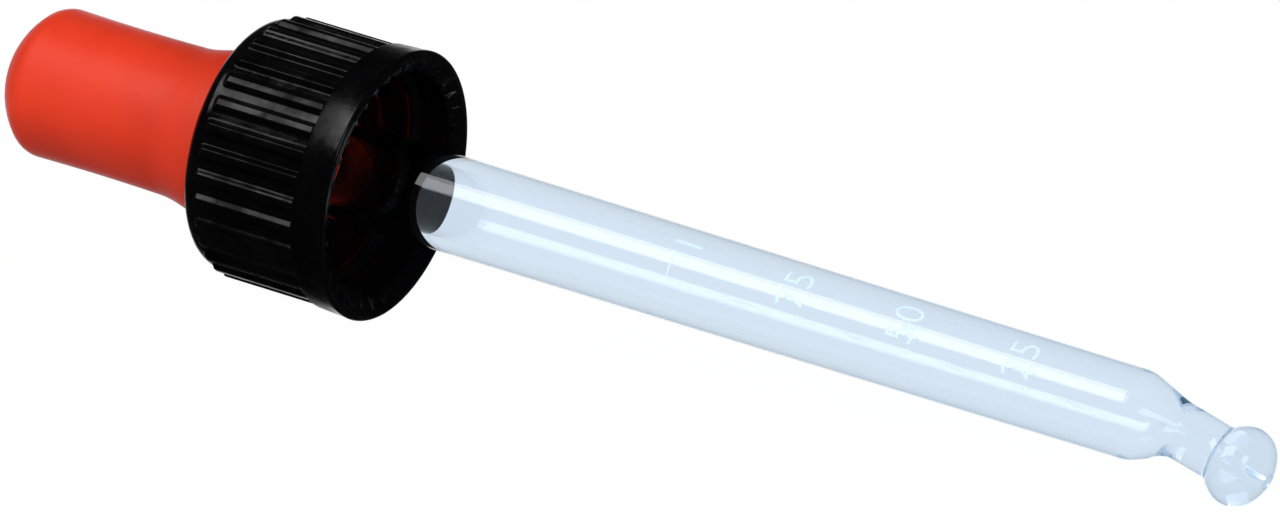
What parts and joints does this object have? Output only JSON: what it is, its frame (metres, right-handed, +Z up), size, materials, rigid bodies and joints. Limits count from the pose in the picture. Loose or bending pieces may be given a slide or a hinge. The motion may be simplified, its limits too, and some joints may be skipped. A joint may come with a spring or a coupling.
{
  "type": "dropper pipette",
  "caption": "Screw-cap dropper: red rubber bulb, black ribbed cap with an internal thread, and a clear graduated glass pipette with a bent neck and ball tip.",
  "frame": {"origin": "on the floor under the middle of the part's box, with the part lying as it comes to rest on the cap's rim and the ball tip", "axes": "+X along the part towards the tip, which slopes 4.6 degrees down; +Z up; +Y across; the bend of the tip lies in the XZ plane, pointing down"},
  "size_m": [0.113, 0.0218, 0.0224],
  "materials": {
    "red_rubber": "satin moulded rubber",
    "black_plastic": "moulded, satin to glossy",
    "clear_glass": "clear, flame-polished",
    "white_print": "matte enamel print"
  },
  "bodies": {
    "root": {"rubber_bulb": "red_rubber", "screw_cap": "black_plastic", "glass_pipette": "clear_glass"}
  },
  "joints": []
}
